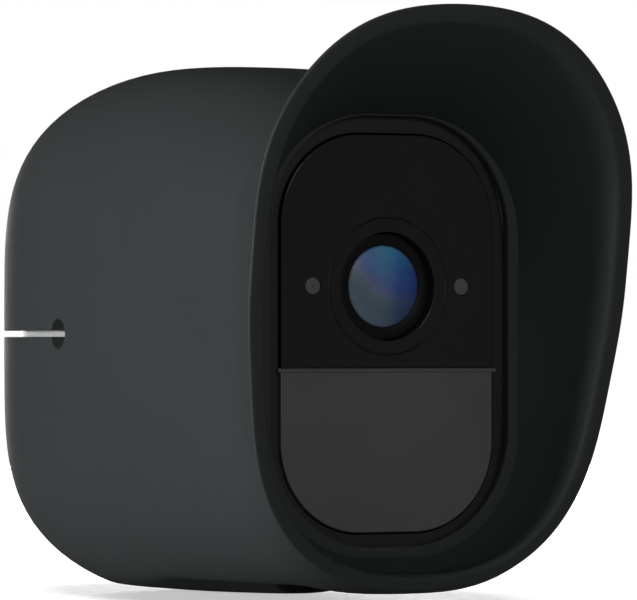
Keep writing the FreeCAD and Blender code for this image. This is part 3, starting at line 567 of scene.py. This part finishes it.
def offset_in(pts, d):
    """Moves a convex anticlockwise outline inwards by d, corner by corner."""
    n = len(pts)
    out = []
    for i in range(n):
        a, b, c = pts[i - 1], pts[i], pts[(i + 1) % n]
        u = (b[0] - a[0], b[1] - a[1])
        v = (c[0] - b[0], c[1] - b[1])
        lu, lv = math.hypot(*u), math.hypot(*v)
        nu, nv = (-u[1] / lu, u[0] / lu), (-v[1] / lv, v[0] / lv)
        den = 1 + nu[0] * nv[0] + nu[1] * nv[1]
        out.append((b[0] + d * (nu[0] + nv[0]) / den, b[1] + d * (nu[1] + nv[1]) / den))
    return out


def fill(bm, loops, y, flip=False):
    """Flat face between an outer loop of verts and hole loops, at the depth the loops already have; y is not used."""
    edges = []
    for lp in loops:
        for i in range(len(lp)):
            a, b = lp[i], lp[(i + 1) % len(lp)]
            e = bm.edges.get((a, b))
            edges.append(e if e else bm.edges.new((a, b)))
    res = bmesh.ops.triangle_fill(bm, use_beauty=True, use_dissolve=False, edges=edges, normal=(0, -1, 0))
    return res


def ring_verts(bm, pts, y):
    return [bm.verts.new((p[0] / 1000, (y - YM) / 1000, p[1] / 1000)) for p in pts]


def bridge(bm, A, B):
    n = len(A)
    for i in range(n):
        j = (i + 1) % n
        bm.faces.new((A[i], A[j], B[j], B[i]))


def circle(x, z, r, n=96):
    return [(x + r * math.cos(2 * math.pi * i / n), z + r * math.sin(2 * math.pi * i / n)) for i in range(n)]


# ------------------------------------------------------------------ materials
def principled(nt):
    out = nt.nodes.new("ShaderNodeOutputMaterial")
    b = nt.nodes.new("ShaderNodeBsdfPrincipled")
    nt.links.new(b.outputs["BSDF"], out.inputs["Surface"])
    return b


def object_coords(nt):
    tc = nt.nodes.new("ShaderNodeTexCoord")
    return tc.outputs["Object"]


def noise(nt, coords, scale, detail=4.0, rough=0.55):
    n = nt.nodes.new("ShaderNodeTexNoise")
    n.inputs["Scale"].default_value = scale
    n.inputs["Detail"].default_value = detail
    n.inputs["Roughness"].default_value = rough
    nt.links.new(coords, n.inputs["Vector"])
    return n.outputs["Fac"]


def ramp(nt, fac, stops):
    r = nt.nodes.new("ShaderNodeValToRGB")
    el = r.color_ramp.elements
    while len(el) > 1:
        el.remove(el[-1])
    el[0].position, el[0].color = stops[0][0], (*stops[0][1], 1)
    for p, c in stops[1:]:
        e = el.new(p)
        e.color = (*c, 1)
    nt.links.new(fac, r.inputs["Fac"])
    return r.outputs["Color"]


def rng(nt, fac, a, b, lo_in=0.3, hi_in=0.7):
    m = nt.nodes.new("ShaderNodeMapRange")
    m.inputs["From Min"].default_value = lo_in
    m.inputs["From Max"].default_value = hi_in
    m.inputs["To Min"].default_value = a
    m.inputs["To Max"].default_value = b
    nt.links.new(fac, m.inputs["Value"])
    return m.outputs["Result"]


def make_mat(name, col, rough, var=0.08, scale=60.0, rvar=0.06, bump=0.0, bscale=2500.0, bdist=0.00004, **sock):
    m = bpy.data.materials.new(name)
    m.use_nodes = True
    nt = m.node_tree
    nt.nodes.clear()
    b = principled(nt)
    co = object_coords(nt)
    n1 = noise(nt, co, scale, 5.0)
    a = tuple(max(0.0, c * (1 - var)) for c in col)
    z = tuple(min(1.0, c * (1 + var)) for c in col)
    nt.links.new(ramp(nt, n1, [(0.32, a), (0.68, z)]), b.inputs["Base Color"])
    n2 = noise(nt, co, scale * 3.1, 4.0)
    nt.links.new(rng(nt, n2, max(0.02, rough - rvar), min(1.0, rough + rvar)), b.inputs["Roughness"])
    if bump > 0:
        n3 = noise(nt, co, bscale, 2.0, 0.5)
        bp = nt.nodes.new("ShaderNodeBump")
        bp.inputs["Strength"].default_value = bump
        bp.inputs["Distance"].default_value = bdist
        nt.links.new(n3, bp.inputs["Height"])
        nt.links.new(bp.outputs["Normal"], b.inputs["Normal"])
    for k, v in sock.items():
        b.inputs[k.replace("_", " ")].default_value = v
    return m


def grey(v):
    return (v, v, v)


MATS = {
    "silicone": make_mat("mat_silicone", (0.0560, 0.0612, 0.0630), 0.60, var=0.035, scale=35, rvar=0.035, bump=0.10, bscale=3200, bdist=0.00003, Specular_IOR_Level=0.32),
    "black_plastic": make_mat("mat_black_plastic", (0.026, 0.0265, 0.0275), 0.50, var=0.10, bump=0.12, bscale=4200, Specular_IOR_Level=0.4),
    "ring_black": make_mat("mat_ring_black", (0.0065, 0.0070, 0.0075), 0.42, var=0.10, bump=0.08, bscale=5200, Specular_IOR_Level=0.3),
    "gloss_black": make_mat("mat_gloss_black", (0.0250, 0.0256, 0.0266), 0.22, var=0.05, rvar=0.03),
    "sensor_grey": make_mat("mat_sensor_grey", (0.175, 0.178, 0.184), 0.34, var=0.05, rvar=0.04, bump=0.05, bscale=5000),
    "white_plastic": make_mat("mat_white_plastic", (0.70, 0.71, 0.72), 0.38, var=0.02, bump=0.06, bscale=4500),
    "inner_plastic": make_mat("mat_inner_plastic", (0.18, 0.18, 0.185), 0.5, var=0.06, bump=0.1, bscale=3000),
    "lens_glass": make_mat("mat_lens_glass", (0.80, 0.86, 0.95), 0.06, var=0.03, rvar=0.02, Transmission_Weight=1.0, IOR=1.5),
    "filter_glass": make_mat("mat_filter_glass", (0.35, 0.65, 0.62), 0.06, var=0.05, rvar=0.02, Transmission_Weight=0.9, IOR=1.5),
    "port_grey": make_mat("mat_port_grey", (0.185, 0.188, 0.192), 0.45, var=0.08, bump=0.08, bscale=5200),
    "circuit_board": make_mat("mat_circuit_board", (0.012, 0.075, 0.030), 0.42, var=0.25, scale=220),
    "chip_black": make_mat("mat_chip_black", (0.014, 0.014, 0.015), 0.5, var=0.15, scale=300),
    "led_package": make_mat("mat_led_package", (0.62, 0.60, 0.50), 0.32, var=0.05, scale=400),
    "spring_steel": make_mat("mat_spring_steel", (0.46, 0.45, 0.43), 0.30, var=0.06, Metallic=1.0),
    "plated_steel": make_mat("mat_plated_steel", (0.55, 0.55, 0.56), 0.28, var=0.05, bump=0.05, bscale=1800, Metallic=1.0),
    "tinned_metal": make_mat("mat_tinned_metal", (0.60, 0.60, 0.58), 0.36, var=0.06, Metallic=1.0),
    "brass": make_mat("mat_brass", (0.60, 0.43, 0.17), 0.30, var=0.08, bump=0.05, bscale=1500, Metallic=1.0),
    "foam_rubber": make_mat("mat_foam_rubber", (0.020, 0.020, 0.021), 0.9, var=0.2, bump=0.4, bscale=1800),
    "flex_film": make_mat("mat_flex_film", (0.50, 0.20, 0.030), 0.35, var=0.10, scale=150),
    "battery_wrap": make_mat("mat_battery_wrap", (0.05, 0.09, 0.20), 0.35, var=0.06),
    "cone_paper": make_mat("mat_cone_paper", (0.05, 0.048, 0.045), 0.8, var=0.15, bump=0.3, bscale=1500),
}


def lens_painted_reflections():
    """Front element: dark glass with painted reflections: tinted bands stand in for what its coating reflects over the
    barrel.
    """
    m = bpy.data.materials.new("mat_lens_painted_reflections")
    m.use_nodes = True
    nt = m.node_tree
    nt.nodes.clear()
    b = principled(nt)
    tc = nt.nodes.new("ShaderNodeTexCoord")

    def mapped(loc, scl):
        mp = nt.nodes.new("ShaderNodeMapping")
        mp.inputs["Location"].default_value = loc
        mp.inputs["Scale"].default_value = scl
        nt.links.new(tc.outputs["Object"], mp.inputs["Vector"])
        return mp.outputs["Vector"]

    # painted reflection: bands of the coating's reflected colour, round a point up and to the right
    g1 = nt.nodes.new("ShaderNodeTexGradient")
    g1.gradient_type = "SPHERICAL"
    nt.links.new(mapped((-3.5 / 14, 0, -(LENS_Z + 7.0) / 14), (1000 / 14, 0.0, 1000 / 14)), g1.inputs["Vector"])
    painted_reflection_bands = ramp(nt, g1.outputs["Fac"], [(0.06, (0.24, 0.33, 0.40)), (0.21, (0.22, 0.31, 0.37)), (0.342, (0.29, 0.39, 0.47)), (0.362, (0.33, 0.38, 0.62)),
                                        (0.425, (0.30, 0.35, 0.66)), (0.445, (0.23, 0.36, 0.76)), (0.643, (0.20, 0.52, 0.86)), (0.80, (0.20, 0.80, 1.0))])
    # painted shade: darker and bluer towards the right
    sx = nt.nodes.new("ShaderNodeSeparateXYZ")
    nt.links.new(tc.outputs["Object"], sx.inputs["Vector"])
    vx = nt.nodes.new("ShaderNodeMapRange")
    vx.inputs["From Min"].default_value = -0.0056
    vx.inputs["From Max"].default_value = 0.0056
    nt.links.new(sx.outputs["X"], vx.inputs["Value"])
    side = ramp(nt, vx.outputs["Result"], [(0.0, (1.0, 1.0, 1.0)), (0.45, (0.84, 0.88, 0.99)), (0.58, (0.62, 0.70, 0.93)), (0.70, (0.32, 0.45, 0.80)), (1.0, (0.13, 0.20, 0.52))])
    mx = nt.nodes.new("ShaderNodeMix")
    mx.data_type = "RGBA"
    mx.blend_type = "MULTIPLY"
    mx.inputs["Factor"].default_value = 1.0
    nt.links.new(painted_reflection_bands, mx.inputs["A"])
    nt.links.new(side, mx.inputs["B"])
    # near-black towards the rim of the element
    g2 = nt.nodes.new("ShaderNodeTexGradient")
    g2.gradient_type = "SPHERICAL"
    nt.links.new(mapped((0, 0, -LENS_Z / 5.6), (1000 / 5.6, 0.0, 1000 / 5.6)), g2.inputs["Vector"])
    mx2 = nt.nodes.new("ShaderNodeMix")
    mx2.data_type = "RGBA"
    nt.links.new(rng(nt, g2.outputs["Fac"], 0.35, 1.0, 0.0, 0.06), mx2.inputs["Factor"])
    mx2.inputs["A"].default_value = (0.004, 0.005, 0.008, 1)
    nt.links.new(mx.outputs["Result"], mx2.inputs["B"])
    n1 = noise(nt, tc.outputs["Object"], 240, 1.0)
    mx3 = nt.nodes.new("ShaderNodeMix")
    mx3.data_type = "RGBA"
    mx3.blend_type = "MULTIPLY"
    mx3.inputs["Factor"].default_value = 1.0
    nt.links.new(mx2.outputs["Result"], mx3.inputs["A"])
    nt.links.new(ramp(nt, n1, [(0.3, (0.955, 0.955, 0.965)), (0.7, (1.0, 1.0, 1.0))]), mx3.inputs["B"])
    nt.links.new(mx3.outputs["Result"], b.inputs["Base Color"])
    nt.links.new(rng(nt, n1, 0.24, 0.30), b.inputs["Roughness"])
    b.inputs["Coat Weight"].default_value = 0.25
    b.inputs["Coat Roughness"].default_value = 0.10
    return m


def bezel_painted_shade():
    """Bezel: fine satin face; its side walls are painted near black, a painted shade for the recess they sit in."""
    m = make_mat("mat_bezel_painted_shade", (0.030, 0.0305, 0.0315), 0.50, var=0.08, bump=0.12, bscale=4200, Specular_IOR_Level=0.4)
    nt = m.node_tree
    b = next(n for n in nt.nodes if n.type == "BSDF_PRINCIPLED")
    face = b.inputs["Base Color"].links[0].from_socket
    co = object_coords(nt)
    sx = nt.nodes.new("ShaderNodeSeparateXYZ")
    nt.links.new(co, sx.inputs["Vector"])
    # painted shade: from 0.62 to 0.95 mm behind the front, the colour fades to near black on the side walls
    vy = nt.nodes.new("ShaderNodeMapRange")
    vy.inputs["From Min"].default_value = (0.62 - YM) / 1000
    vy.inputs["From Max"].default_value = (0.95 - YM) / 1000
    nt.links.new(sx.outputs["Y"], vy.inputs["Value"])
    mx = nt.nodes.new("ShaderNodeMix")
    mx.data_type = "RGBA"
    nt.links.new(vy.outputs["Result"], mx.inputs["Factor"])
    nt.links.new(face, mx.inputs["A"])
    n1 = noise(nt, co, 90, 3.0)
    nt.links.new(ramp(nt, n1, [(0.3, (0.0030, 0.0031, 0.0033)), (0.7, (0.0042, 0.0043, 0.0046))]), mx.inputs["B"])
    nt.links.new(mx.outputs["Result"], b.inputs["Base Color"])
    return m


def paint(ob, mat):
    ob.data.materials.clear()
    ob.data.materials.append(mat)


# every CAD node takes its slot's material
slots = {s["node"]: s["material_slot"] for s in frame["record"]["subparts"]}
for n, o in NODES.items():
    s = slots.get(n, "inner_plastic")
    paint(o, MATS[s])
paint(NODES["front_bezel"], bezel_painted_shade())

# ------------------------------------------------------------------ sleeve
sleeve = build_skin()
paint(sleeve, MATS["silicone"])
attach(sleeve, "camera")
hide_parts("silicone_skin")

# ------------------------------------------------------------------ window's upper half: rounded edge, ring groove, bore and two ports
WW, WT, WR, WTH = 33.86, 54.4, 12.4, 1.5
SPLIT = 31.9


def window_half(name, z0, z1, holes, groove, er, face_step=0.0):
    bm = bmesh.new()
    outline = clip_z(rr_outline(WW, WT, WR, WIN_Z, 28), z0, z1)
    back = ring_verts(bm, outline, WTH)
    side_top = ring_verts(bm, outline, er + face_step)
    loops = [back, side_top]
    for k in range(1, 6):
        t = k / 5 * math.pi / 2
        loops.append(ring_verts(bm, offset_in(outline, er * (1 - math.cos(t))), face_step + er * (1 - math.sin(t))))
    for a, b in zip(loops[:-1], loops[1:]):
        bridge(bm, a, b)
    front, rear = [loops[-1]], [loops[0]]
    for (hx, hz, hr, hc) in holes:
        n = 128 if hr > 3 else 48
        h0 = ring_verts(bm, circle(hx, hz, hr + hc, n), face_step)
        ks = [h0]
        for k in range(1, 4):
            t = k / 3 * math.pi / 2
            ks.append(ring_verts(bm, circle(hx, hz, hr + hc * (1 - math.sin(t)), n), face_step + hc * (1 - math.cos(t))))
        hb = ring_verts(bm, circle(hx, hz, hr, n), WTH)
        ks.append(hb)
        for a, b in zip(ks[:-1], ks[1:]):
            bridge(bm, a, b)
        front.append(h0)
        rear.append(hb)
    if groove:
        gx, gz, gr, gw, gd = groove
        prof = [(gr + gw, 0.0), (gr + gw * 0.6, gd * 0.75), (gr, gd), (gr - gw * 0.6, gd * 0.75), (gr - gw, 0.0)]
        rs = [ring_verts(bm, circle(gx, gz, r, 160), face_step + y) for r, y in prof]
        for a, b in zip(rs[:-1], rs[1:]):
            bridge(bm, a, b)
        fill(bm, [front[0], rs[0]] + front[2:], face_step)
        fill(bm, [rs[-1], front[1]], face_step)
    else:
        fill(bm, front, face_step)
    fill(bm, rear, WTH)
    return mesh_object(name, bm, 30, True)


win = window_half("window_panel", SPLIT + 0.06, 100.0,
                  [(0, LENS_Z, 7.45, 0.12), (-11.9, LENS_Z, 1.21, 0.05), (11.9, LENS_Z, 1.21, 0.05)],
                  (0, LENS_Z, 9.4, 0.13, 0.16), 0.13)
paint(win, MATS["gloss_black"])
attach(win, "camera"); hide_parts("lens_window")

pir = window_half("motion_window", -10.0, SPLIT - 0.02, [], None, 0.13, 0.12)
# the raised strip along its top edge
bm = bmesh.new()
bm.from_mesh(pir.data)
prof = [(0.44, 31.30), (0.10, 31.30), (0.0, 31.36), (-0.05, 31.44), (-0.05, 31.70), (0.02, 31.82), (0.16, 31.90), (0.44, 31.92)]
ends = [[bm.verts.new((x / 1000, (y - YM) / 1000, z / 1000)) for y, z in prof] for x in (-17.42, 17.42)]
for i in range(len(prof)):
    j = (i + 1) % len(prof)
    bm.faces.new((ends[0][i], ends[0][j], ends[1][j], ends[1][i]))
bm.faces.new(ends[0])
bm.faces.new(list(reversed(ends[1])))
bmesh.ops.recalc_face_normals(bm, faces=bm.faces)
for f in bm.faces:
    f.smooth = True
for ed in bm.edges:
    if len(ed.link_faces) == 2 and ed.calc_face_angle(0.0) > math.radians(40):
        ed.smooth = False
bm.to_mesh(pir.data)
bm.free()
paint(pir, MATS["sensor_grey"])
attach(pir, "camera"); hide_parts("pir_window")

# ------------------------------------------------------------------ lens ring, front element, port plugs
ring = lathe("lens_ring", [(7.35, 1.35)] + arc(7.35 - 0.15, 1.35, 0.15, 0, -math.pi / 2, 4)[1:] + [(5.78, 1.2), (5.71, 1.23), (5.68, 1.3), (5.68, 4.4), (7.35, 4.4)], 0, LENS_Z)
paint(ring, MATS["ring_black"])
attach(ring, "camera"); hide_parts("lens_trim_ring")

dome_prof = [(0.0, 0.6)]
for k in range(1, 15):
    r = 5.6 * k / 14
    dome_prof.append((r, 0.6 + 24.4 - math.sqrt(24.4 ** 2 - r * r)))
dome_prof += [(5.6, 2.5)]
for k in range(0, 11):
    r = 5.3 * (1 - k / 10)
    dome_prof.append((r, max(0.6 + 9.7 - math.sqrt(8.3 ** 2 - r * r), 1.6) if r < 5.2 else 2.5))
dome = lathe("front_lens", dome_prof, 0, LENS_Z, 128, 50)
paint(dome, lens_painted_reflections())
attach(dome, "camera"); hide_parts("lens_dome")

for nm, sx, cad in (("mic_plug", -1, "mic_port"), ("light_plug", 1, "light_port")):
    if sx < 0:
        prof = [(0.10, 0.09), (0.13, 0.06), (1.02, 0.06)] + arc(1.02, 0.21, 0.15, -math.pi / 2, 0, 4)[1:] + [(1.17, 1.47), (0.35, 1.47), (0.35, 0.30), (0.10, 0.30)]
    else:
        prof = [(0.0, 0.06), (1.02, 0.06)] + arc(1.02, 0.21, 0.15, -math.pi / 2, 0, 4)[1:] + [(1.17, 1.47), (0.35, 1.47), (0.35, 0.6), (0.0, 0.6)]
    o = lathe(nm, prof, sx * 11.9, LENS_Z, 48)
    paint(o, MATS["port_grey"])
    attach(o, "camera"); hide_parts(cad)

# ------------------------------------------------------------------ camera
th = math.radians(31.4)
F = Vector((math.sin(th), math.cos(th), 0))
R = Vector((math.cos(th), -math.sin(th), 0))
U = Vector((0, 0, 1))
yaw, pitch = math.radians(0.6394), math.radians(0.3694)
f1 = (F * math.cos(yaw) - R * math.sin(yaw)).normalized()
r1 = (R * math.cos(yaw) + F * math.sin(yaw)).normalized()
f2 = (f1 * math.cos(pitch) + U * math.sin(pitch)).normalized()
u2 = r1.cross(f2).normalized()
cam_d = bpy.data.cameras.new("photo_camera")
cam = bpy.data.objects.new("photo_camera", cam_d)
bpy.context.scene.collection.objects.link(cam)
cam.matrix_world = Matrix(((r1.x, u2.x, -f2.x, -0.4429), (r1.y, u2.y, -f2.y, -0.7551), (r1.z, u2.z, -f2.z, 0.03575), (0, 0, 0, 1)))
cam_d.sensor_fit = "HORIZONTAL"
cam_d.sensor_width = 36.0
cam_d.lens = 350.68
cam_d.clip_start, cam_d.clip_end = 0.01, 50.0
cam_d.dof.use_dof = False
bpy.context.scene.camera = cam

# ------------------------------------------------------------------ floor, world, lights
fm = bpy.data.meshes.new("floor")
s = 6.0
fm.from_pydata([(-s, -s, 0), (s, -s, 0), (s, s, 0), (-s, s, 0)], [], [(0, 1, 2, 3)])
floor = bpy.data.objects.new("floor", fm)
floor.location.z = -0.0001
bpy.context.scene.collection.objects.link(floor)
fmat = bpy.data.materials.new("mat_floor")
fmat.use_nodes = True
nt = fmat.node_tree
nt.nodes.clear()
out = nt.nodes.new("ShaderNodeOutputMaterial")
bs = nt.nodes.new("ShaderNodeBsdfPrincipled")
bs.inputs["Base Color"].default_value = (0.45, 0.455, 0.46, 1)
bs.inputs["Roughness"].default_value = 0.5
# camera-seen floor emission: 1.05 away from the object so the floor reads evenly white, falling to 0.5 in an ellipse
# under it as a painted contact shadow
lp = nt.nodes.new("ShaderNodeLightPath")
em = nt.nodes.new("ShaderNodeEmission")
em.inputs["Color"].default_value = (1, 1, 1, 1)
tcf = nt.nodes.new("ShaderNodeTexCoord")
mpf = nt.nodes.new("ShaderNodeMapping")
mpf.inputs["Scale"].default_value = (1 / 0.036, 1 / 0.060, 1.0)
nt.links.new(tcf.outputs["Object"], mpf.inputs["Vector"])
floor_painted_shadow = nt.nodes.new("ShaderNodeTexGradient")
floor_painted_shadow.gradient_type = "SPHERICAL"
nt.links.new(mpf.outputs["Vector"], floor_painted_shadow.inputs["Vector"])
mt = nt.nodes.new("ShaderNodeMath")
mt.operation = "MULTIPLY"
nt.links.new(rng(nt, floor_painted_shadow.outputs["Fac"], 1.05, 0.50, 0.01, 0.30), mt.inputs[1])
nt.links.new(lp.outputs["Is Camera Ray"], mt.inputs[0])
nt.links.new(mt.outputs["Value"], em.inputs["Strength"])
ad = nt.nodes.new("ShaderNodeAddShader")
nt.links.new(bs.outputs["BSDF"], ad.inputs[0])
nt.links.new(em.outputs["Emission"], ad.inputs[1])
nt.links.new(ad.outputs["Shader"], out.inputs["Surface"])
paint(floor, fmat)

w = bpy.data.worlds.new("studio")
bpy.context.scene.world = w
w.use_nodes = True
nt = w.node_tree
nt.nodes.clear()
wo = nt.nodes.new("ShaderNodeOutputWorld")
bg = nt.nodes.new("ShaderNodeBackground")
bg.inputs["Color"].default_value = (1, 1, 1, 1)
lp = nt.nodes.new("ShaderNodeLightPath")
mr = nt.nodes.new("ShaderNodeMapRange")
mr.inputs["To Min"].default_value = 0.02
mr.inputs["To Max"].default_value = 1.0
nt.links.new(lp.outputs["Is Camera Ray"], mr.inputs["Value"])
nt.links.new(mr.outputs["Result"], bg.inputs["Strength"])
nt.links.new(bg.outputs["Background"], wo.inputs["Surface"])


def area(name, loc, target, sx, sy, watts, col=(1, 1, 1)):
    d = bpy.data.lights.new(name, "AREA")
    d.shape = "RECTANGLE"
    d.size, d.size_y, d.energy, d.color = sx, sy, watts, col
    o = bpy.data.objects.new(name, d)
    o.location = Vector(loc)
    o.rotation_euler = (Vector(target) - Vector(loc)).to_track_quat("-Z", "Y").to_euler()
    bpy.context.scene.collection.objects.link(o)
    return o


area("key_left", (-0.75, -0.038, 0.055), (0, 0, 0.045), 0.10, 0.20, 4.1)
area("fill_front", (-0.50, -0.85, 0.16), (0, -0.02, 0.045), 0.4, 0.3, 0.26)
area("front_box", (0.0, -1.02, 0.42), (0, -0.02, 0.045), 0.3, 0.25, 1.15)
area("back_soft", (0.42, 0.80, 0.045), (0, 0.02, 0.045), 0.7, 0.16, 3.0)
area("side_right", (0.85, 0.10, 0.07), (0, 0.02, 0.045), 0.16, 0.4, 1.6)
area("card_right", (0.62, -0.62, 0.10), (0, -0.02, 0.045), 0.55, 0.7, 0.10)
area("floor_light", (0.0, 0.3, 1.2), (0.0, 0.2, 0.0), 0.9, 0.9, 1.2)

bpy.context.scene.view_settings.view_transform = "Standard"
bpy.context.scene.view_settings.look = "None"
bpy.context.scene.view_settings.exposure = 0.0
bpy.context.scene.view_settings.gamma = 1.0
